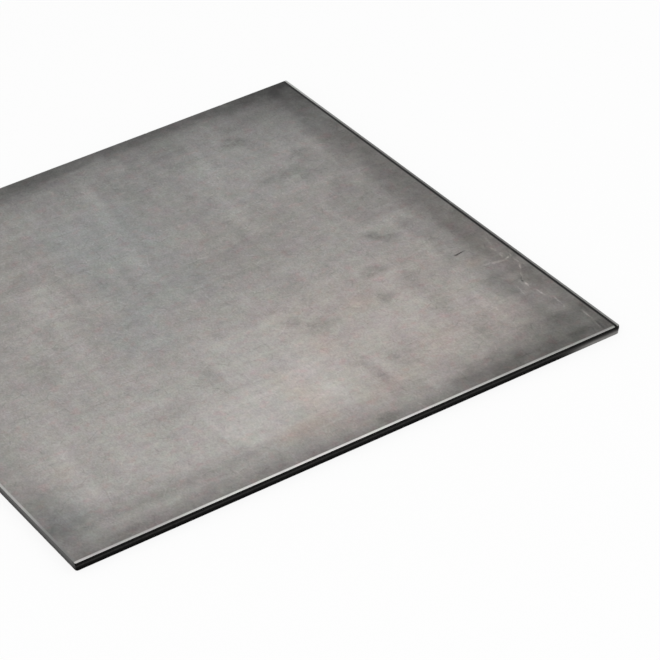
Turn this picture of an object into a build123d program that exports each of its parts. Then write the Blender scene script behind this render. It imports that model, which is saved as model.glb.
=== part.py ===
"""Square plate of bare mild steel, sheared to size on all four sides.

Millimetres, +Z up. The plate lies flat, and its origin is under its middle, on the bottom face.
"""

import os

from build123d import *

# Plate
plate_length = 300.0  # along X
plate_width = 300.0  # along Y
plate_thickness = 5.0
corner_radius = 0.6  # upright corners, with the sharp point filed off

# Sheared edge, from the top face down to the bottom face
roll_over_width = 1.3  # how far the rounded top arris reaches in from the side
roll_over_depth = 0.4  # how far that arris drops below the top face
burnish_height = 1.8  # smooth upright band below it, which the blade rubbed
fracture_inset = 0.22  # how far the broken band falls back towards the bottom face

# How far each cut passes the plate
cut_overrun = 2.0

# Heights of the burnished band
burnish_top = plate_thickness - roll_over_depth
burnish_bottom = burnish_top - burnish_height

with BuildPart() as plate:
    # Blank at the plate's widest outline, which the burnished bands keep
    with BuildSketch():
        RectangleRounded(plate_length, plate_width, corner_radius)
    extrude(amount=plate_thickness)

    # One stroke of the shear along each side, so that the arrises meet in mitres at the corners
    stroke = max(plate_length, plate_width) + 2 * cut_overrun
    for side in plate.faces().filter_by(Axis.X) + plate.faces().filter_by(Axis.Y):
        outwards = side.normal_at()
        along = outwards.cross(Vector(0, 0, 1))
        foot = Vector(side.center().X, side.center().Y, 0)
        with BuildSketch(Plane(origin=foot - along * (stroke / 2), x_dir=outwards, z_dir=along)):
            # Metal that the blade drew down at the top arris
            with BuildLine():
                roll_over = EllipticalCenterArc(
                    (-roll_over_width, burnish_top), roll_over_width, roll_over_depth, arc_size=90
                )
                Polyline(
                    roll_over @ 1,
                    (-roll_over_width, plate_thickness + cut_overrun),
                    (cut_overrun, plate_thickness + cut_overrun),
                    (cut_overrun, burnish_top),
                    roll_over @ 0,
                )
            make_face()
            # Metal that broke away below the burnished band
            with BuildLine():
                Polyline(
                    (0, burnish_bottom),
                    (cut_overrun, burnish_bottom),
                    (cut_overrun, -cut_overrun),
                    (-fracture_inset, -cut_overrun),
                    (-fracture_inset, 0),
                    close=True,
                )
            make_face()
        extrude(amount=stroke, mode=Mode.SUBTRACT)

plate.part.label = "steel_plate"

os.makedirs("parts", exist_ok=True)
export_step(plate.part, "parts/steel_plate.step")
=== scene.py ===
"""Looks of the square steel plate: its sheared sides as a fine mesh, its mill finish, light and camera.

The scene is in metres, +Z up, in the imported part's own frame. The paint works in plate millimetres, with x
and y from the plate's middle. Tones are written as a screen shows them, from 0 for black to 1 for white.
"""

import math
import random

import bpy
from mathutils import Matrix, Vector, noise


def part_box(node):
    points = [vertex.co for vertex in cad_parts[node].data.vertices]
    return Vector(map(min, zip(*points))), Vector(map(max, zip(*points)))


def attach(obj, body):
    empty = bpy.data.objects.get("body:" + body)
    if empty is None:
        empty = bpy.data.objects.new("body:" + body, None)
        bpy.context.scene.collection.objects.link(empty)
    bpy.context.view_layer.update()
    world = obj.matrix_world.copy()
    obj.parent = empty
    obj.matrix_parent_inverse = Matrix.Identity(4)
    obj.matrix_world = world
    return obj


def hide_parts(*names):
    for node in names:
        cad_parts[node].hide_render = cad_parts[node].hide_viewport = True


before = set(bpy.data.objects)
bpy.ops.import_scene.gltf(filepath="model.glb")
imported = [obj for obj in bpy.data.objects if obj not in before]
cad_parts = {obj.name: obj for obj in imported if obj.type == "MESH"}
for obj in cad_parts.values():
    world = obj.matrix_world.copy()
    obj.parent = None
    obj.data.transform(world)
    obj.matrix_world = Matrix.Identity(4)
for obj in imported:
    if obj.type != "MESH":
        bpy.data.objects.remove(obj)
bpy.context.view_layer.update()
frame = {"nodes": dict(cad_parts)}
(PLATE_NODE,) = frame["nodes"]
PLATE_LOW, PLATE_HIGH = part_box(PLATE_NODE)
HALF = Vector((PLATE_HIGH.x - PLATE_LOW.x, PLATE_HIGH.y - PLATE_LOW.y)) / 2
MIDDLE = Vector((PLATE_HIGH.x + PLATE_LOW.x, PLATE_HIGH.y + PLATE_LOW.y)) / 2
TOP = PLATE_HIGH.z
SIDES = 4
QUARTER_TURN = math.radians(90)
MM_PER_METRE = 1000.0
HALF_MM = HALF * MM_PER_METRE
THICKNESS_MM = (PLATE_HIGH.z - PLATE_LOW.z) * MM_PER_METRE

# Sheared section in metres, as in the solid
ROLL_OVER_WIDTH = 0.0013
ROLL_OVER_DEPTH = 0.0004
BURNISH_HEIGHT = 0.0018
FRACTURE_INSET = 0.00022
CORNER_RADIUS = 0.0006

# How the real edge differs from that section, in metres
MITRE_RADIUS = 0.00008  # of a corner further in, where two arrises meet
CORNER_BREAK = 0.0006  # how much rounder the corners have crumbled at the bottom
GRAIN_HEIGHT = 0.0015  # how far the torn grain is followed from the top of its band to the bottom
ROLL_OVER_STRAY_SHARE = 0.14
BURNISH_STRAY = 0.00028
TEAR_DEPTH = 0.00012
TEAR_MEAN_SHARE = 0.5
TEAR_STRAY_SHARE = 0.35
# Each stray has two waves, the second weaker by its share
WIDTH_WAVES = {"lengths": (0.017, 0.003), "second_share": 0.5, "seed": 1}
DEPTH_WAVES = {"lengths": (0.023, 0.002), "second_share": 0.5, "seed": 3}
BURNISH_WAVES = {"lengths": (0.011, 0.0024), "second_share": 0.6, "seed": 5}
TEAR_WAVES = {"lengths": (0.0011, 0.0028), "second_share": 3 / 7, "seed": 7}
# Nicks along the top arris, with the least and most of their depths and half lengths
NICK_COUNT = 26
NICK_DEPTHS = (0.00006, 0.0002)
NICK_LENGTHS = (0.0005, 0.0016)
NICK_SEED = 7

# Fineness of the mesh
SIDE_STATIONS = 520
CORNER_STEPS = 4
ROLL_OVER_STEPS = 6
BURNISH_STEPS = 3
FRACTURE_STEPS = 6
FACE_CELLS = 36
FACE_MARGIN = 0.006

# Material slots of the plate's mesh
SKIN, BURNISH, FRACTURE, UNDERSIDE = range(4)


def stations():
    """Places round the plate, counterclockwise: way from the middle, facing and how many sides round."""
    found = []
    for side in range(SIDES):
        turn = Matrix.Rotation(QUARTER_TURN * side, 2)
        for i in range(SIDE_STATIONS + 1):
            share = i / SIDE_STATIONS
            found.append((turn @ Vector((1, 2 * share - 1)), turn @ Vector((1, 0)), side + share))
        for i in range(1, CORNER_STEPS):
            angle = QUARTER_TURN * i / CORNER_STEPS
            facing = turn @ Vector((math.cos(angle), math.sin(angle)))
            found.append((turn @ Vector((1, 1)), facing, side + 1))
    return found


def arris_point(core, facing, inset):
    """Point of the outline, drawn in by inset, with the corner's round going to a mitre further in."""
    corner_cut = CORNER_RADIUS * (1 - math.cos(QUARTER_TURN / 2))
    radius = max(CORNER_RADIUS * (1 - inset / corner_cut), MITRE_RADIUS)
    return outline_point(core, facing, inset, radius)


def outline_point(core, facing, inset, radius):
    """Point of the outline, drawn in by inset, with its corners rounded to radius."""
    reach = HALF - Vector((inset + radius, inset + radius))
    return MIDDLE + Vector((core.x * reach.x, core.y * reach.y)) + facing * radius


def waver(place, wavelength, seed):
    """Smooth wandering between about -1 and 1 at a place on the plate."""
    return noise.noise(place / wavelength + Vector((seed, seed, seed)))


def stray(place, lengths, second_share, seed):
    """Wandering in two waves at a place on the plate."""
    first, second = lengths
    return waver(place, first, seed) + second_share * waver(place, second, seed + 1)


def nicks():
    """Small knocks along the top arris: how many sides round, and half length and depth in metres."""
    dice = random.Random(NICK_SEED)
    return [
        (dice.uniform(0, SIDES), dice.uniform(*NICK_LENGTHS), dice.uniform(*NICK_DEPTHS))
        for _ in range(NICK_COUNT)
    ]


def knock_at(at, knocks):
    """How deep the knocks go at one place round the plate."""
    depth = 0.0
    for knock_place, half_length, knock_depth in knocks:
        away = (at - knock_place) * 2 * max(HALF) / half_length
        depth += knock_depth * max(1 - away * away, 0)
    return depth


def section(core, facing, at, knocks):
    """Points down the sheared side at one station, from the top face to the bottom face."""
    rim = outline_point(core, facing, 0.0, CORNER_RADIUS)
    place = Vector((rim.x, rim.y, 0))
    knock = knock_at(at, knocks)
    width = ROLL_OVER_WIDTH * (1 + ROLL_OVER_STRAY_SHARE * stray(place, **WIDTH_WAVES))
    depth = ROLL_OVER_DEPTH * (1 + ROLL_OVER_STRAY_SHARE * stray(place, **DEPTH_WAVES))
    burnish_low = TOP - ROLL_OVER_DEPTH - BURNISH_HEIGHT + BURNISH_STRAY * stray(place, **BURNISH_WAVES)
    points = []
    for step in range(ROLL_OVER_STEPS + 1):
        angle = QUARTER_TURN * (1 - step / ROLL_OVER_STEPS)
        dent = knock * math.sin(2 * angle)
        spot = arris_point(core, facing, width * (1 - math.cos(angle)) + dent)
        points.append((spot.x, spot.y, TOP - depth * (1 - math.sin(angle)) - dent))
    for step in range(1, BURNISH_STEPS + 1):
        share = step / BURNISH_STEPS
        points.append((rim.x, rim.y, (TOP - depth) * (1 - share) + burnish_low * share))
    for step in range(1, FRACTURE_STEPS + 1):
        share = step / FRACTURE_STEPS
        grain = Vector((place.x, place.y, share * GRAIN_HEIGHT))
        tear = TEAR_MEAN_SHARE + TEAR_STRAY_SHARE * stray(grain, **TEAR_WAVES)
        inset = FRACTURE_INSET * share + TEAR_DEPTH * max(tear, 0)
        spot = outline_point(core, facing, inset, CORNER_RADIUS + CORNER_BREAK * share)
        points.append((spot.x, spot.y, burnish_low * (1 - share)))
    return points


def face_grid(points, faces, height, upwards):
    """Even grid of one flat face. Returns its outer loop, counterclockwise, as zip_loops takes it."""
    first = len(points)
    row = FACE_CELLS + 1
    reach = HALF - Vector((FACE_MARGIN, FACE_MARGIN))
    for j in range(row):
        for i in range(row):
            across, along = 2 * i / FACE_CELLS - 1, 2 * j / FACE_CELLS - 1
            points.append((MIDDLE.x + across * reach.x, MIDDLE.y + along * reach.y, height))
    for j in range(FACE_CELLS):
        for i in range(FACE_CELLS):
            corner = first + j * row + i
            cell = (corner, corner + 1, corner + row + 1, corner + row)
            faces.append(cell if upwards else cell[::-1])
    last = FACE_CELLS
    runs = ((last, row), (last * row + last, -1), (last * row, -row), (0, 1))
    loop = []
    for side, (start, step) in enumerate(runs):
        for i in range(FACE_CELLS):
            loop.append((first + start + i * step, side + i / FACE_CELLS))
    return loop


def zip_loops(faces, outer, inner, upwards):
    """Triangles between two closed loops of (vertex, how many sides round)."""
    outer = outer + [(outer[0][0], SIDES)]
    inner = inner + [(inner[0][0], SIDES)]
    i = j = 0
    while i < len(outer) - 1 or j < len(inner) - 1:
        outer_next = i < len(outer) - 1 and (j == len(inner) - 1 or outer[i + 1][1] <= inner[j + 1][1])
        third = outer[i + 1][0] if outer_next else inner[j + 1][0]
        triangle = (outer[i][0], third, inner[j][0])
        faces.append(triangle if upwards else triangle[::-1])
        i, j = (i + 1, j) if outer_next else (i, j + 1)


def plate_mesh():
    """The plate as one closed mesh: two flat faces and a sheared side with its own grain."""
    round_plate = stations()
    knocks = nicks()
    points, faces, slots = [], [], []
    for core, facing, at in round_plate:
        points += section(core, facing, at, knocks)
    rings = ROLL_OVER_STEPS + BURNISH_STEPS + FRACTURE_STEPS + 1
    count = len(round_plate)
    for station in range(count):
        here, after = station * rings, (station + 1) % count * rings
        for ring in range(rings - 1):
            faces.append((here + ring, here + ring + 1, after + ring + 1, after + ring))
            broken = ring >= ROLL_OVER_STEPS + BURNISH_STEPS
            slots.append(FRACTURE if broken else BURNISH if ring >= ROLL_OVER_STEPS else SKIN)
    far = [at for _, _, at in round_plate]
    for ring, height, upwards, slot in ((0, TOP, True, SKIN), (rings - 1, PLATE_LOW.z, False, UNDERSIDE)):
        rim_loop = [(station * rings + ring, far[station]) for station in range(count)]
        zip_loops(faces, rim_loop, face_grid(points, faces, height, upwards), upwards)
        slots += [slot] * (len(faces) - len(slots))
    mesh = bpy.data.meshes.new("sheared_plate")
    mesh.from_pydata(points, [], faces)
    mesh.polygons.foreach_set("material_index", slots)
    mesh.polygons.foreach_set("use_smooth", [True] * len(faces))
    bottom_rim = {station * rings + rings - 1 for station in range(count)}
    for edge in mesh.edges:
        edge.use_edge_sharp = bottom_rim.issuperset(edge.vertices)
    mesh.validate()
    return mesh


# Power that turns a screen tone into the shader's colour
SCREEN_GAMMA = 2.2
# Detail of the noise that makes drawn marks wavy, and the noise levels between which hairlines fade in
WAVY_DETAIL = 3.0
HAIRLINES_SHOW = (0.53, 0.65)


class Paint:
    """Short words for building one material's nodes. Places are in plate millimetres."""

    def __init__(self, name):
        self.material = bpy.data.materials.new(name)
        self.material.use_nodes = True
        self.tree = self.material.node_tree
        self.shader = self.tree.nodes["Principled BSDF"]
        metres = self.add("ShaderNodeTexCoord").outputs["Object"]
        self.place = self.vector("SCALE", metres, Scale=MM_PER_METRE)
        self.x, self.y, self.z = self.split(self.place)
        self.flat = self.add("ShaderNodeCombineXYZ", X=self.x, Y=self.y).outputs[0]

    def add(self, kind, settings=(), **inputs):
        node = self.tree.nodes.new(kind)
        for name, value in dict(settings).items():
            setattr(node, name, value)
        for name, value in inputs.items():
            self.feed(node.inputs[name.replace("_", " ")], value)
        return node

    def feed(self, socket, value):
        if isinstance(value, bpy.types.NodeSocket):
            self.tree.links.new(value, socket)
        else:
            socket.default_value = value

    def vector(self, operation, first, second=None, **inputs):
        node = self.add("ShaderNodeVectorMath", {"operation": operation}, **inputs)
        self.feed(node.inputs[0], first)
        if second is not None:
            self.feed(node.inputs[1], second)
        return node.outputs["Vector"]

    def split(self, place):
        return self.add("ShaderNodeSeparateXYZ", Vector=place).outputs

    def math(self, operation, *values):
        node = self.add("ShaderNodeMath", {"operation": operation})
        for socket, value in zip(node.inputs, values):
            self.feed(socket, value)
        return node.outputs[0]

    def total(self, *values):
        """Sum of numbers and sockets."""
        result = values[0]
        for value in values[1:]:
            result = self.math("ADD", result, value)
        return result

    def product(self, *values):
        result = values[0]
        for value in values[1:]:
            result = self.math("MULTIPLY", result, value)
        return result

    def ease(self, value, start, end, low=0.0, high=1.0):
        """From low at start to high at end, with soft ends."""
        settings = {"interpolation_type": "SMOOTHSTEP"}
        sizes = {"From_Min": start, "From_Max": end, "To_Min": low, "To_Max": high}
        return self.add("ShaderNodeMapRange", settings, Value=value, **sizes).outputs["Result"]

    def blend(self, amount, low, high):
        """From low to high by amount."""
        gap = self.math("SUBTRACT", high, low)
        return self.math("MULTIPLY_ADD", gap, amount, low)

    def speckle(
        self, place, size, detail=2.0, roughness=0.5, stretch=(1.0, 1.0, 1.0), seed=0.0, colour=False
    ):
        """Noise between 0 and 1 with features about size across, drawn out by stretch."""
        scale = tuple(1 / (size * longer) for longer in stretch)
        spread = self.add("ShaderNodeMapping", Vector=place, Scale=scale, Location=(seed, seed, seed))
        looks = {"Scale": 1.0, "Detail": detail, "Roughness": roughness}
        node = self.add("ShaderNodeTexNoise", Vector=spread.outputs[0], **looks)
        return node.outputs["Color" if colour else 0]

    def drift(self, place, amount, **speckle_words):
        """Noise about zero, as strong as amount."""
        return self.math("MULTIPLY_ADD", self.speckle(place, **speckle_words), 2 * amount, -amount)

    def layers(self, rows, shift=0.0):
        """Sum of drifts, laid out like MILL_CLOUDS. Each shift of their seeds gives others."""
        drifts = []
        for amount, size, detail, roughness, longer_x, longer_y, seed in rows:
            looks = {"size": size, "detail": detail, "roughness": roughness}
            stretch = (longer_x, longer_y, 1.0)
            drifts.append(self.drift(self.flat, amount, **looks, stretch=stretch, seed=seed + shift))
        return self.total(*drifts)

    def blotches(self, size, detail, roughness, seed, start, end, low=0.0, high=1.0):
        """Noise that goes from low, where it is under start, to high, where it is over end."""
        return self.ease(self.speckle(self.flat, size, detail, roughness, seed=seed), start, end, low, high)

    def curve(self, value, start, end, points):
        """Smooth line through given points of (place, result), for places from start to end."""
        share = self.math("DIVIDE", self.math("SUBTRACT", value, start), end - start)
        node = self.add("ShaderNodeFloatCurve", Value=share)
        line = node.mapping.curves[0].points
        for place, result in points[1:-1]:
            line.new((place - start) / (end - start), result)
        for point, (place, result) in zip(line, points):
            point.location = ((place - start) / (end - start), result)
        node.mapping.extend = "HORIZONTAL"
        node.mapping.update()
        return node.outputs[0]

    def along_side(self, value, points):
        """Smooth line through given points along one side of the plate."""
        return self.curve(value, -HALF_MM.x, HALF_MM.x, points)

    def up_side(self, points):
        """Smooth line through given points from the bottom face up to the top face."""
        return self.curve(self.z, 0.0, THICKNESS_MM, points)

    def ovals(self, place, rows):
        """Sum of soft ovals, each with x, y, half length, half width, turn in degrees and strength."""
        result = 0.0
        for x, y, half_length, half_width, turn, strength in rows:
            spread = {
                "Location": (x, y, 0.0),
                "Rotation": (0.0, 0.0, math.radians(turn)),
                "Scale": (half_length, half_width, 1.0),
            }
            local = self.add("ShaderNodeMapping", {"vector_type": "TEXTURE"}, Vector=place, **spread)
            ball = self.add("ShaderNodeTexGradient", {"gradient_type": "SPHERICAL"}, Vector=local.outputs[0])
            result = self.math("ADD", self.ease(ball.outputs["Fac"], 0.0, 1.0, 0.0, strength), result)
        return result

    def boxes(self, x, y, rows, edge_share):
        """Sum of boxes with soft edges, each with x, y, half width, half height and strength."""
        inner_share = 1 - edge_share
        result = 0.0
        for middle_x, middle_y, half_width, half_height, strength in rows:
            across = self.math("ABSOLUTE", self.math("SUBTRACT", x, middle_x))
            along = self.math("ABSOLUTE", self.math("SUBTRACT", y, middle_y))
            inside = self.product(
                self.ease(across, half_width, half_width * inner_share),
                self.ease(along, half_height, half_height * inner_share, 0.0, strength),
            )
            result = self.math("ADD", inside, result)
        return result

    def hairlines(self, place, size, width, strength, seed):
        """Short thin scratches in all directions, here and there, each up to about size long."""
        spread = self.add("ShaderNodeMapping", Vector=place, Location=(seed, seed, 0.0))
        settings = {"voronoi_dimensions": "2D", "feature": "DISTANCE_TO_EDGE"}
        cells = self.add("ShaderNodeTexVoronoi", settings, Vector=spread.outputs[0], Scale=1 / size)
        line = self.ease(cells.outputs["Distance"], width / size, 0.0, 0.0, strength)
        return self.product(line, self.ease(self.speckle(place, size, seed=seed), *HAIRLINES_SHOW))

    def wavy(self, place, amount, size, seed):
        """Place strayed by up to about amount, so that what is drawn on it has uneven edges."""
        wander = self.speckle(self.flat, size, WAVY_DETAIL, seed=seed, colour=True)
        shift = self.vector("SUBTRACT", wander, (0.5, 0.5, 0.5))
        moved = self.vector("ADD", place, self.vector("SCALE", shift, Scale=2 * amount))
        return self.vector("MULTIPLY", moved, (1.0, 1.0, 0.0))

    def finish(self, tone, warmth, roughness, green=0.0):
        """Give the shader its colour from a screen tone, with warmth as red over blue, and its roughness."""
        half_warmth = self.math("MULTIPLY", warmth, 0.5)
        channels = {
            "Red": self.math("ADD", 1.0, half_warmth),
            "Green": self.math("ADD", 1.0, green),
            "Blue": self.math("SUBTRACT", 1.0, half_warmth),
        }
        colour = self.add("ShaderNodeCombineColor")
        for name, share in channels.items():
            level = self.math("MAXIMUM", self.math("MULTIPLY", tone, share), 0.0)
            self.feed(colour.inputs[name], self.math("POWER", level, SCREEN_GAMMA))
        self.feed(self.shader.inputs["Base Color"], colour.outputs[0])
        self.feed(self.shader.inputs["Roughness"], roughness)
        self.shader.inputs["Metallic"].default_value = 1.0
        return self.material

    def bump(self, height, depth_mm, strength):
        """Fine relief of the surface, too shallow for the mesh."""
        node = self.add("ShaderNodeBump", Height=height, Distance=depth_mm / MM_PER_METRE, Strength=strength)
        self.feed(self.shader.inputs["Normal"], node.outputs[0])


# Mill finish of both faces. The clouds have amount, size in mm, detail, roughness, stretch along x, stretch
# along y and seed. The hairlines have size, width, amount and seed
MILL_CLOUDS = [
    (0.015, 60.0, 3.0, 0.5, 1.0, 1.0, 5.0),
    (0.055, 11.0, 5.0, 0.7, 1.0, 1.0, 8.0),
    (0.026, 7.0, 2.0, 0.5, 1.0, 10.0, 9.0),
    (0.02, 7.0, 2.0, 0.5, 10.0, 1.0, 10.0),
    (0.012, 2.2, 2.0, 0.5, 1.0, 8.0, 11.0),
    (0.009, 2.2, 2.0, 0.5, 8.0, 1.0, 12.0),
    (0.035, 1.9, 2.0, 0.5, 1.0, 1.6, 13.0),
    (0.06, 0.8, 1.0, 0.5, 1.0, 1.8, 14.0),
]
MILL_SPOTS = {
    "size": 7.0, "detail": 5.0, "roughness": 0.6, "start": 0.47, "end": 0.53, "low": -0.007, "high": 0.007,
}
MILL_SPOTS_SEED = 15.0
MILL_HAIRLINES = [
    (7.0, 0.6, 0.035, 16.0),
    (7.0, 0.6, -0.04, 17.0),
]
# Warmth is red over blue. It and the roughness vary by layers laid out like the clouds
MILL_WARMTH = 0.048
WARMTH_LAYERS = [
    (0.02, 9.0, 3.0, 0.6, 1.0, 1.0, 21.0),
    (0.04, 3.6, 3.0, 0.6, 1.0, 1.0, 22.0),
]
MILL_ROUGHNESS = 0.42
ROUGHNESS_LAYERS = [(0.08, 12.0, 3.0, 0.5, 1.0, 1.0, 31.0)]
# Fine relief: size and depth in mm
RELIEF_SIZE = 0.8
RELIEF_DEPTH = 0.02
RELIEF_STRENGTH = 0.3
RELIEF_SEED = 41.0
# What each face adds to the seeds, so that they differ
TOP_SHIFT = 0.0
UNDERSIDE_SHIFT = 50.0
UNDERSIDE_TONE = 0.56


def mill_clouds(paint, shift):
    """Faint clouds, crossed rolling streaks, grain and hairlines of the mill finish, about zero."""
    clouds = paint.total(
        paint.layers(MILL_CLOUDS, shift),
        paint.blotches(**MILL_SPOTS, seed=MILL_SPOTS_SEED + shift),
    )
    for size, width, amount, seed in MILL_HAIRLINES:
        clouds = paint.math("ADD", clouds, paint.hairlines(paint.flat, size, width, amount, seed + shift))
    return clouds


def mill_warmth(paint, shift):
    """Warmth of the mill finish, with its faint changes."""
    return paint.math("ADD", MILL_WARMTH, paint.layers(WARMTH_LAYERS, shift))


def mill_gloss(paint, shift):
    """Fine relief of the mill finish on the shader, and its roughness."""
    relief = paint.speckle(paint.flat, RELIEF_SIZE, seed=RELIEF_SEED + shift)
    paint.bump(relief, RELIEF_DEPTH, RELIEF_STRENGTH)
    return paint.math("ADD", MILL_ROUGHNESS, paint.layers(ROUGHNESS_LAYERS, shift))


# Tone of the top face from its front side, at y = -150 mm, to its back side, with a painted sheen that makes
# it lighter towards the front
TONE_AND_SHEEN_ALONG_Y = [
    (-150, 0.622), (-120, 0.647), (-90, 0.648), (-60, 0.62), (-30, 0.596), (0, 0.572),
    (30, 0.561), (75, 0.555), (110, 0.537), (150, 0.508),
]
# Tones of the arrises, painted highlights and reflections over their wear: the front one along x, the others
# along y
FRONT_ARRIS_HIGHLIGHTS = [(-150, 0.7), (-110, 0.69), (-70, 0.79), (10, 0.79), (45, 0.74), (100, 0.63), (150, 0.56)]
LEFT_ARRIS_HIGHLIGHTS = [(-150, 0.46), (-125, 0.51), (-112, 0.59), (-100, 0.65), (150, 0.62)]
RIGHT_ARRIS_REFLECTIONS = [(-150, 0.5), (100, 0.5), (125, 0.6), (150, 0.66)]
# Painted dark reflection just inside the right arris
RIGHT_DARK_REFLECTION_TONE = 0.1
ARRIS_WARMTH_SHARE = 0.4
ARRIS_RUBS = [(0.06, 8.0, 2.0, 0.5, 1.0, 1.0, 81.0)]
# Distances in from a side, in mm, between which the arrises and the painted dark line fade in
FRONT_ARRIS_FADE = (1.3, 0.85)
LEFT_ARRIS_FADE = (1.3, 0.9)
RIGHT_ARRIS_FADE = (1.55, 1.35)
RIGHT_DARK_REFLECTION_FADE = (3.0, 2.4)

# Dark margins of the top face: share of the tone that is left, by distance in from a side in mm
MARGIN_REACH = 45.0
RIGHT_MARGIN = [(0, 0.7), (5, 0.76), (14, 0.8), (18, 0.87), (22, 0.945), (29, 0.99), (45, 1.0)]
LOWER_RIGHT_MARGIN = [(0, 0.66), (9, 0.72), (14, 0.76), (24, 0.82), (30, 0.92), (37, 0.99), (45, 1.0)]
BACK_MARGIN = [(0, 0.645), (5, 0.69), (9, 0.77), (13, 0.86), (18, 0.92), (28, 0.965), (45, 1.0)]
FRONT_MARGIN = [(0, 0.77), (6, 0.83), (12, 0.885), (22, 0.905), (28, 0.945), (34, 0.985), (45, 1.0)]
FRONT_RIGHT_MARGIN = [(0, 0.61), (6, 0.64), (12, 0.75), (18, 0.83), (25, 0.93), (34, 0.985), (45, 1.0)]
LEFT_MARGIN = [(0, 0.76), (6, 0.775), (13, 0.84), (18, 0.885), (24, 0.945), (32, 0.99), (45, 1.0)]
# Where the lower right margin takes over along y, and the front right one along x
LOWER_RIGHT_FROM = (-60.0, -85.0)
FRONT_RIGHT_FROM = (45.0, 85.0)
# How far the side margins fade out, along y
RIGHT_FADE = [(-150, 0.75), (-140, 0.75), (-122, 0.0), (116, 0.0), (140, 0.55), (150, 0.6)]
LEFT_FADE = [(-150, 0.55), (-140, 0.5), (-124, 0.0), (-106, 0.0), (-85, 0.4), (150, 0.4)]
# More shade in the back right corner, laid out like the smudges
BACK_CORNER = [(154, 149, 70, 56, 0, 0.31)]
# How unevenly the margins end, in mm, laid out like the clouds, and how unevenly they darken
SIDE_SMEAR = [(2.2, 7.0, 3.0, 0.6, 1.0, 4.0, 76.0)]
END_SMEAR = [(2.2, 7.0, 3.0, 0.6, 4.0, 1.0, 77.0)]
MARGIN_BLOTCHES = {
    "size": 9.0, "detail": 3.0, "roughness": 0.6, "seed": 74.0,
    "start": 0.25, "end": 0.75, "low": 0.85, "high": 1.15,
}

# How far drawn marks stray, and over what length, in mm
WAVY = {"amount": 5.0, "size": 22.0, "seed": 3.0}
RAGGED = {"amount": 2.0, "size": 7.0, "seed": 4.0}
SHAKY = {"amount": 0.7, "size": 2.5, "seed": 6.0}
# Soft edges of patches, as a share of their size
SOFT_SHARE = 0.4
CRISP_SHARE = 0.15
# Marks on the top face in mm. Patches have x, y, half width, half height and tone. Streaks, smudges and
# scratches have x, y, half length, half width, turn in degrees and tone
PATCHES = [
    (-13, -104, 44, 28, 0.02),
    (-5, -127, 45, 9, 0.03),
    (2, -58, 32, 24, 0.024),
    (-80, -92, 45, 25, -0.018),
    (108, -88, 26, 52, -0.042),
    (72, -105, 24, 22, -0.018),
    (130, -134, 26, 14, -0.07),
    (60, -136, 12, 6, 0.04),
    (128, -35, 14, 35, -0.035),
    (112, 112, 22, 22, -0.025),
    (116, 62, 18, 15, -0.042),
    (117, 18, 20, 22, -0.038),
    (110, -25, 20, 22, -0.02),
    (18, 143, 15, 6, 0.05),
    (-55, 18, 22, 14, 0.015),
    (50, -128, 9, 8, 0.025),
    (60, 116, 12, 12, -0.03),
    (20, 130, 16, 9, 0.025),
    (28, 82, 28, 28, -0.018),
    (42, -22, 14, 10, -0.022),
    (-62, 40, 16, 18, 0.035),
    (-122, -108, 32, 28, -0.022),
    (112, -112, 22, 14, -0.02),
    (28, 112, 22, 16, -0.016),
    (-87, 12, 12, 18, 0.02),
    (-37, 112, 14, 16, 0.018),
    (88, 137, 16, 10, 0.02),
    (-38, -60, 16, 62, -0.012),
    (0, -139, 18, 8, 0.025),
    (82, -138, 24, 9, -0.02),
    (138, 80, 12, 26, -0.022),
]
CRISP_PATCHES = [
    (28, 13, 36, 13, -0.016),
    (-32, -102, 19, 22, 0.01),
    (126, -87, 8, 11, -0.03),
]
STREAKS = [
    (-67, 6, 56, 9, 84, 0.034),
    (5, 108, 40, 7, 80, 0.034),
    (-7, 42, 24, 6, 82, 0.032),
    (66, 92, 30, 7, 75, 0.036),
    (57, 46, 28, 6, 86, 0.032),
    (48, 30, 38, 4, 88, -0.026),
    (-17, 24, 36, 4, 88, -0.02),
    (-38, -4, 16, 4, 0, -0.03),
    (24, 2, 42, 3, 0, -0.014),
    (-75, -53, 44, 4, 0, -0.02),
    (-85, 10, 70, 20, 90, 0.015),
    (-48, -100, 26, 3, 86, 0.03),
    (-90, -137, 50, 3, 0, 0.035),
    (-80, -130, 60, 4, 1, -0.02),
]
SMUDGES = [
    (92, 110, 10, 9, 0, -0.1),
    (92, 68, 16, 8, 0, -0.065),
    (114, 79, 13, 10, 20, -0.065),
    (115, 40, 10, 13, 0, -0.05),
    (73, 35, 12, 12, 0, -0.025),
    (82, -38, 11, 8, 0, -0.1),
    (88, -43, 12, 4, 10, 0.035),
    (102, -14, 14, 9, -30, -0.07),
    (36, -62, 14, 10, 20, -0.06),
    (27, -52, 8, 7, 0, -0.055),
    (76, -61, 9, 9, 40, -0.075),
    (52, -106, 10, 14, 25, -0.085),
    (36, -114, 7, 18, 10, -0.07),
    (33, -98, 9, 9, 0, -0.055),
    (90, -83, 11, 8, 0, -0.05),
    (95, -112, 10, 10, 0, -0.055),
    (64, -103, 10, 12, 0, -0.035),
    (-60, -80, 13, 9, 0, -0.055),
    (-28, -64, 8, 11, 0, -0.05),
    (-90, -12, 10, 19, 0, -0.04),
    (-100, -54, 18, 7, 0, -0.03),
    (136, -12, 9, 10, 0, 0.035),
    (147, -11, 6, 11, 0, 0.06),
    (-118, -105, 9, 30, 0, 0.03),
    (-43, -110, 9, 22, 15, 0.025),
    (12, -85, 20, 10, 10, 0.035),
    (10, -110, 9, 11, 0, 0.035),
    (-40, -144, 12, 5, 0, -0.06),
    (20, -144, 12, 5, 0, -0.08),
    (-118, -146, 20, 5, 0, -0.06),
]
# How unevenly the smudges show
PATCHY = {
    "size": 5.0, "detail": 3.0, "roughness": 0.6, "seed": 91.0,
    "start": 0.3, "end": 0.7, "low": 0.45, "high": 1.35,
}
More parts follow.
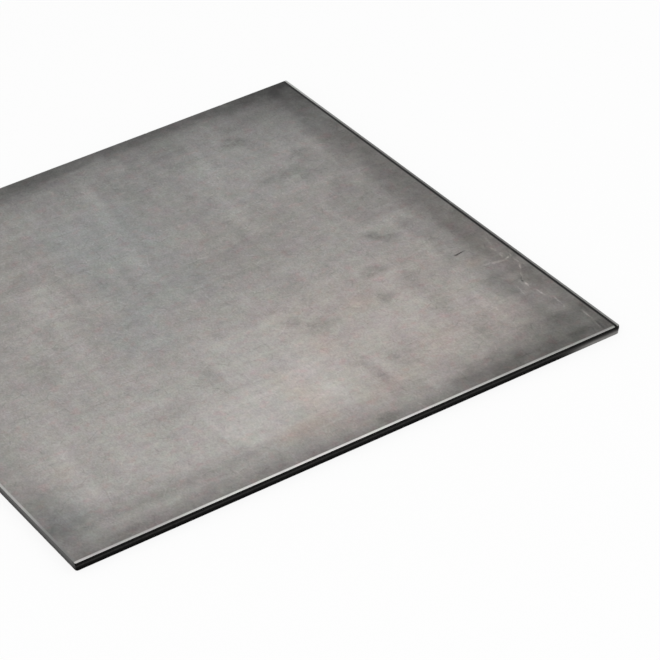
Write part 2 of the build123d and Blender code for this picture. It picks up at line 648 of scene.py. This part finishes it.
# Scratches near the right side, how they break up, and the scuffed ground round them
SCRATCHES = [
    (125.5, -51, 4.2, 0.8, 8, -0.32),
    (123, -51.5, 1.8, 1.3, 0, -0.15),
    (133, -68.2, 9.0, 1.3, -11, 0.11),
    (137, -69.8, 7.0, 1.0, -8, 0.08),
    (141.5, -69, 4.0, 0.9, 20, 0.13),
    (142.6, -69.3, 1.8, 1.3, 0, 0.16),
    (144, -74, 4.5, 0.8, 95, 0.1),
    (138, -53.5, 3.5, 1.6, 75, 0.06),
    (143, -51.5, 5.0, 1.4, 80, 0.06),
    (140.5, -57.5, 5.0, 1.1, 100, 0.05),
    (140.7, -65.5, 3.5, 1.2, 70, 0.07),
    (144.5, -68, 4.5, 0.8, 86, 0.09),
    (142, -79.5, 4.0, 0.9, 62, 0.16),
    (138.2, -86, 6.0, 0.8, 61, 0.1),
    (136.7, -88, 3.5, 0.8, 61, -0.14),
    (135.5, -90.5, 1.5, 1.0, 60, -0.2),
    (135.6, -94, 4.0, 1.0, 83, 0.17),
    (136.6, -103.8, 4.8, 0.9, 92, 0.16),
    (139.1, -114, 5.0, 0.9, 82, 0.14),
    (138.5, -121, 2.5, 0.8, 60, 0.08),
    (143, -133.5, 6.5, 0.9, 88, 0.16),
    (141.7, -144, 6.0, 0.8, 84, 0.09),
    (142.6, -144, 6.0, 0.8, 84, -0.1),
    (130, -97, 7.0, 0.7, 80, 0.08),
    (146.5, -128, 9.0, 0.7, 90, 0.06),
]
BROKEN = {
    "size": 1.6, "detail": 2.0, "roughness": 0.5, "seed": 93.0,
    "start": 0.25, "end": 0.5, "low": 0.35, "high": 1.2,
}
SCUFFED = [(138, -88, 18, 48, 0, 1.0)]
SCUFFS = [(0.07, 4.0, 3.0, 0.65, 1.0, 1.8, 95.0)]
# Changes of warmth and of green on the top face, laid out like the clouds and the marks. Blush is small pink
# spots. What goes by blush or by warmth has a slope and a start
BLUSH = {"size": 6.0, "detail": 2.0, "roughness": 0.4, "seed": 23.0, "start": 0.56, "end": 0.72}
WARMTH_BY_BLUSH = (0.035, -0.004)
GREEN_BY_WARMTH = (-0.2, 0.009)
GREEN_BY_BLUSH_SLOPE = -0.014
GREEN_LAYERS = [
    (0.03, 14.0, 2.0, 0.5, 1.0, 1.0, 24.0),
    (0.03, 4.0, 3.0, 0.6, 1.0, 1.0, 25.0),
]
WARM_PATCHES = [
    (60, 125, 130, 42, -0.02),
    (40, 72, 100, 26, -0.013),
    (66, -85, 64, 70, 0.019),
    (-10, 45, 34, 62, -0.024),
    (-38, -15, 18, 22, -0.02),
]
WARM_SMUDGES = [
    (0, -105, 14, 40, 5, 0.04),
    (-14, -128, 28, 12, 0, 0.06),
    (36, -122, 28, 10, 12, 0.03),
    (62, -56, 14, 11, 30, 0.04),
    (28, -76, 10, 12, 0, 0.03),
    (75, -108, 30, 18, 30, 0.022),
    (115, -110, 26, 24, 0, 0.02),
    (-124, -88, 14, 10, 0, 0.02),
    (-140, -122, 26, 30, 0, -0.03),
    (126, -62, 9, 9, 0, 0.05),
    (4, -140, 30, 9, 0, 0.03),
    (140, -60, 14, 90, 0, 0.02),
]
GREEN_SMUDGES = [(130, -138, 40, 24, 0, 0.012)]


def margin_shade(paint, wavy):
    """Share of the tone that the dark margins leave, by the smeared distance in from each side."""
    x, y, _ = paint.split(wavy)
    side_smear = paint.layers(SIDE_SMEAR)
    end_smear = paint.layers(END_SMEAR)
    from_right = paint.math("SUBTRACT", paint.math("ADD", HALF_MM.x, side_smear), x)
    from_left = paint.total(HALF_MM.x, side_smear, x)
    from_back = paint.math("SUBTRACT", paint.math("ADD", HALF_MM.y, end_smear), y)
    from_front = paint.total(HALF_MM.y, end_smear, y)

    def margin(distance, points):
        return paint.curve(distance, 0.0, MARGIN_REACH, points)

    right = paint.blend(
        paint.ease(y, *LOWER_RIGHT_FROM),
        margin(from_right, RIGHT_MARGIN),
        margin(from_right, LOWER_RIGHT_MARGIN),
    )
    front = paint.blend(
        paint.ease(x, *FRONT_RIGHT_FROM),
        margin(from_front, FRONT_MARGIN),
        margin(from_front, FRONT_RIGHT_MARGIN),
    )
    shade = paint.product(
        paint.blend(paint.along_side(y, RIGHT_FADE), right, 1.0),
        paint.blend(paint.along_side(y, LEFT_FADE), margin(from_left, LEFT_MARGIN), 1.0),
        margin(from_back, BACK_MARGIN),
        front,
        paint.math("SUBTRACT", 1.0, paint.ovals(wavy, BACK_CORNER)),
    )
    uneven = paint.blotches(**MARGIN_BLOTCHES)
    return paint.math("SUBTRACT", 1.0, paint.product(paint.math("SUBTRACT", 1.0, shade), uneven))


def arris_wear_and_highlights(paint, tone, warmth):
    """Front and left arrises painted bright as highlights over their wear, and the right one painted as a
    dull reflection with a dark reflected line inside it.
    """
    in_right = paint.math("SUBTRACT", HALF_MM.x, paint.x)
    in_left = paint.math("ADD", HALF_MM.x, paint.x)
    in_front = paint.math("ADD", HALF_MM.y, paint.y)
    rubs = paint.layers(ARRIS_RUBS)
    line = paint.ease(in_right, *RIGHT_DARK_REFLECTION_FADE)
    right = paint.ease(in_right, *RIGHT_ARRIS_FADE)
    left = paint.ease(in_left, *LEFT_ARRIS_FADE)
    front = paint.ease(in_front, *FRONT_ARRIS_FADE)
    # Front and left arrises painted bright as highlights, with rubs of wear
    tone = paint.blend(left, tone, paint.math("ADD", paint.along_side(paint.y, LEFT_ARRIS_HIGHLIGHTS), rubs))
    tone = paint.blend(front, tone, paint.math("ADD", paint.along_side(paint.x, FRONT_ARRIS_HIGHLIGHTS), rubs))
    # Painted dark reflection line inside the right arris, then the right arris painted as a lighter
    # reflection
    tone = paint.blend(line, tone, RIGHT_DARK_REFLECTION_TONE)
    tone = paint.blend(right, tone, paint.along_side(paint.y, RIGHT_ARRIS_REFLECTIONS))
    painted_arrises = paint.math("MAXIMUM", line, paint.math("MAXIMUM", left, front))
    return tone, paint.product(warmth, paint.ease(painted_arrises, 0.0, 1.0, 1.0, ARRIS_WARMTH_SHARE))


def rolled_skin():
    """Top face and its rolled-over arris: grey mill finish with a painted sheen lighter towards the front,
    dark margins, streaks, smudges, scratches, and painted highlights and reflections on the arrises.
    """
    paint = Paint("rolled_skin")
    wavy = paint.wavy(paint.flat, **WAVY)
    ragged = paint.wavy(wavy, **RAGGED)
    shaky = paint.wavy(paint.flat, **SHAKY)
    x, y, _ = paint.split(wavy)
    tone = paint.total(
        # Tone along y, with the painted sheen that lightens the front
        paint.along_side(y, TONE_AND_SHEEN_ALONG_Y),
        mill_clouds(paint, TOP_SHIFT),
        paint.boxes(x, y, PATCHES, SOFT_SHARE),
        paint.boxes(x, y, CRISP_PATCHES, CRISP_SHARE),
        paint.ovals(wavy, STREAKS),
        paint.product(paint.ovals(ragged, SMUDGES), paint.blotches(**PATCHY)),
        paint.product(paint.ovals(wavy, SCUFFED), paint.layers(SCUFFS)),
        paint.product(paint.ovals(shaky, SCRATCHES), paint.blotches(**BROKEN)),
    )
    tone = paint.math("MULTIPLY", tone, margin_shade(paint, wavy))
    blush = paint.blotches(**BLUSH)
    warmth = paint.total(
        mill_warmth(paint, TOP_SHIFT),
        paint.math("MULTIPLY_ADD", blush, *WARMTH_BY_BLUSH),
        paint.boxes(x, y, WARM_PATCHES, SOFT_SHARE),
        paint.ovals(wavy, WARM_SMUDGES),
    )
    tone, warmth = arris_wear_and_highlights(paint, tone, warmth)
    green = paint.total(
        paint.math("MULTIPLY_ADD", warmth, *GREEN_BY_WARMTH),
        paint.layers(GREEN_LAYERS),
        paint.product(blush, GREEN_BY_BLUSH_SLOPE),
        paint.ovals(wavy, GREEN_SMUDGES),
    )
    return paint.finish(tone, warmth, mill_gloss(paint, TOP_SHIFT), green)


# Sheared side: tones by height in mm, painted dark as shade and dark reflection, darkest at the bottom of the
# torn band as a painted contact shadow
BURNISH_SHADE_TONES = [(0.0, 0.2), (2.7, 0.2), (3.4, 0.1), (4.2, 0.12), (5.0, 0.2)]
FRACTURE_SHADE_TONES = [(0.0, 0.03), (1.2, 0.04), (2.0, 0.12), (2.7, 0.2), (5.0, 0.2)]
# The left side's tones, painted lighter than the others by how the light falls on it
LEFT_SIDE_LIGHT_TONES = [(0.0, 0.2), (2.0, 0.24), (4.0, 0.28), (5.0, 0.36)]
# Distances in from the front and the left, in mm, between which the painted light of those sides fades in,
# and distances from the front corner between which the left side's painted light starts
SIDE_FADE = (1.2, 0.9)
LEFT_SIDE_FROM = (1.0, 4.0)
# Front side painted lighter towards the right corner, where its painted contact shadow gives way: where along
# x and how far down it fades in, and its tone
LIT_END_ALONG = (108.0, 134.0)
LIT_END_DOWN = (3.1, 1.2)
LIT_END_TONE = 0.5
# Upright rub lines of the burnished band and torn grain of the broken one, with sizes in mm
RUB_LINES = {"amount": 0.05, "size": 0.5, "stretch": (1.0, 1.0, 12.0), "seed": 2.0}
TORN_GRAIN = {"amount": 0.08, "size": 0.7, "detail": 3.0, "stretch": (1.0, 1.0, 2.0), "seed": 4.0}
# Warmth of both bands, and the roughness of each
SIDE_WARMTH = 0.03
BURNISH_ROUGHNESS = 0.45
FRACTURE_ROUGHNESS = 0.6


def painted_side_light(paint, tone):
    """Left side painted lighter by how the light falls on it, and the front side painted lighter from the
    bottom up towards the right corner, where its painted contact shadow gives way.
    """
    in_left = paint.math("ADD", HALF_MM.x, paint.x)
    in_front = paint.math("ADD", HALF_MM.y, paint.y)
    on_left = paint.product(paint.ease(in_left, *SIDE_FADE), paint.ease(in_front, *LEFT_SIDE_FROM))
    on_front = paint.ease(in_front, *SIDE_FADE)
    # Left side painted lighter by how the light falls on it
    tone = paint.blend(on_left, tone, paint.up_side(LEFT_SIDE_LIGHT_TONES))
    # Front side painted lighter towards the right corner, lifting its painted contact shadow
    lit_end = paint.product(on_front, paint.ease(paint.x, *LIT_END_ALONG), paint.ease(paint.z, *LIT_END_DOWN))
    return paint.blend(lit_end, tone, LIT_END_TONE)


def burnished_band():
    """Smooth upper half of the sheared side, painted dark as shade and dark reflection, with upright rub
    lines.
    """
    paint = Paint("burnished_band")
    tone = paint.math("ADD", paint.up_side(BURNISH_SHADE_TONES), paint.drift(paint.place, **RUB_LINES))
    return paint.finish(painted_side_light(paint, tone), SIDE_WARMTH, BURNISH_ROUGHNESS)


def fracture_band():
    """Torn lower half of the sheared side, dull, painted dark as shade and darkest at the bottom as a painted
    contact shadow.
    """
    paint = Paint("fracture_band")
    tone = paint.math("ADD", paint.up_side(FRACTURE_SHADE_TONES), paint.drift(paint.place, **TORN_GRAIN))
    return paint.finish(painted_side_light(paint, tone), SIDE_WARMTH, FRACTURE_ROUGHNESS)


def underside():
    """Bottom face: the same mill finish, plain, with its own clouds and streaks."""
    paint = Paint("underside")
    tone = paint.math("ADD", UNDERSIDE_TONE, mill_clouds(paint, UNDERSIDE_SHIFT))
    warmth = mill_warmth(paint, UNDERSIDE_SHIFT)
    return paint.finish(tone, warmth, mill_gloss(paint, UNDERSIDE_SHIFT))


def add_plate():
    plate = bpy.data.objects.new("sheared_plate", plate_mesh())
    for material in (rolled_skin(), burnished_band(), fracture_band(), underside()):
        plate.data.materials.append(material)
    bpy.context.scene.collection.objects.link(plate)
    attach(plate, "root")
    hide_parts(PLATE_NODE)


# Studio, in metres and watts
FLOOR_SIZE = 4.0
FLOOR_DROP = 0.0003
FLOOR_WHITE = 0.9
FLOOR_GLOW_SHARE = 0.85
ROOM_LIGHT = 0.85
LAMPS = [
    # place, aim, side length and power
    ((-0.6, -0.9, 1.3), (0.0, 0.0, 0.0), 1.0, 4.0),
    ((0.9, -0.7, 1.2), (0.0, 0.0, 0.0), 1.0, 2.0),
]


def seen_rays(tree):
    """1 for rays that show the background: from the camera, off gloss or through glass."""
    rays = tree.nodes.new("ShaderNodeLightPath")
    result = rays.outputs["Is Camera Ray"]
    for name in ("Is Glossy Ray", "Is Transmission Ray"):
        either = tree.nodes.new("ShaderNodeMath")
        either.operation = "MAXIMUM"
        tree.links.new(result, either.inputs[0])
        tree.links.new(rays.outputs[name], either.inputs[1])
        result = either.outputs[0]
    return result


def add_room():
    """White surroundings, with a plainer strength for the light that falls on matt surfaces."""
    world = bpy.data.worlds.new("room")
    world.use_nodes = True
    tree = world.node_tree
    strength = tree.nodes.new("ShaderNodeMapRange")
    strength.inputs["To Min"].default_value = ROOM_LIGHT
    strength.inputs["To Max"].default_value = 1.0
    tree.links.new(seen_rays(tree), strength.inputs["Value"])
    background = tree.nodes["Background"]
    background.inputs["Color"].default_value = (1.0, 1.0, 1.0, 1.0)
    tree.links.new(strength.outputs[0], background.inputs["Strength"])
    bpy.context.scene.world = world


def floor_material():
    """Matt white floor that also glows white, so that only a soft shadow is left, and clear from below."""
    material = bpy.data.materials.new("floor_white")
    material.use_nodes = True
    tree = material.node_tree
    tree.nodes.remove(tree.nodes["Principled BSDF"])
    matt = tree.nodes.new("ShaderNodeBsdfDiffuse")
    matt.inputs["Color"].default_value = (FLOOR_WHITE, FLOOR_WHITE, FLOOR_WHITE, 1.0)
    glow = tree.nodes.new("ShaderNodeEmission")
    share = tree.nodes.new("ShaderNodeMath")
    share.operation = "MULTIPLY"
    tree.links.new(seen_rays(tree), share.inputs[0])
    share.inputs[1].default_value = FLOOR_GLOW_SHARE
    lit = tree.nodes.new("ShaderNodeMixShader")
    tree.links.new(share.outputs[0], lit.inputs["Fac"])
    tree.links.new(matt.outputs[0], lit.inputs[1])
    tree.links.new(glow.outputs[0], lit.inputs[2])
    sides = tree.nodes.new("ShaderNodeMixShader")
    tree.links.new(tree.nodes.new("ShaderNodeNewGeometry").outputs["Backfacing"], sides.inputs["Fac"])
    tree.links.new(lit.outputs[0], sides.inputs[1])
    tree.links.new(tree.nodes.new("ShaderNodeBsdfTransparent").outputs[0], sides.inputs[2])
    tree.links.new(sides.outputs[0], tree.nodes["Material Output"].inputs["Surface"])
    return material


def add_floor():
    half = FLOOR_SIZE / 2
    level = PLATE_LOW.z - FLOOR_DROP
    mesh = bpy.data.meshes.new("floor")
    corners = [(-half, -half, level), (half, -half, level), (half, half, level), (-half, half, level)]
    mesh.from_pydata(corners, [], [(0, 1, 2, 3)])
    mesh.materials.append(floor_material())
    floor = bpy.data.objects.new("floor", mesh)
    bpy.context.scene.collection.objects.link(floor)


def add_lamps():
    for i, (place, aim, size, power) in enumerate(LAMPS):
        light = bpy.data.lights.new(f"softbox_{i}", "AREA")
        light.size = size
        light.energy = power
        lamp = bpy.data.objects.new(light.name, light)
        lamp.location = place
        lamp.rotation_euler = (Vector(aim) - Vector(place)).to_track_quat("-Z", "Y").to_euler()
        bpy.context.scene.collection.objects.link(lamp)


# Camera: where it looks on the top face, from how far, and its turn, dip and lean in degrees
CAMERA_AIM = (0.03749, -0.06765)
CAMERA_DISTANCE = 1.5373
CAMERA_YAW = -30.52
CAMERA_PITCH = 34.404
CAMERA_ROLL = -4.312
CAMERA_LENS = 173.516
CAMERA_SENSOR = 36.0


def add_camera():
    yaw, pitch, roll = (math.radians(angle) for angle in (CAMERA_YAW, CAMERA_PITCH, CAMERA_ROLL))
    level_dip = Vector((-math.sin(yaw), math.cos(yaw), 0)) * math.cos(pitch)
    forward = level_dip - Vector((0, 0, math.sin(pitch)))
    level = Vector((math.cos(yaw), math.sin(yaw), 0))
    upright = level.cross(forward)
    right = level * math.cos(roll) + upright * math.sin(roll)
    up = upright * math.cos(roll) - level * math.sin(roll)
    data = bpy.data.cameras.new("camera")
    data.lens = CAMERA_LENS
    data.sensor_width = CAMERA_SENSOR
    camera = bpy.data.objects.new("camera", data)
    turned = Matrix((right, up, -forward)).transposed().to_4x4()
    camera.matrix_world = Matrix.Translation(Vector((*CAMERA_AIM, TOP)) - forward * CAMERA_DISTANCE) @ turned
    bpy.context.scene.collection.objects.link(camera)
    bpy.context.scene.camera = camera


bpy.context.scene.view_settings.view_transform = "Standard"
add_plate()
add_room()
add_floor()
add_lamps()
add_camera()
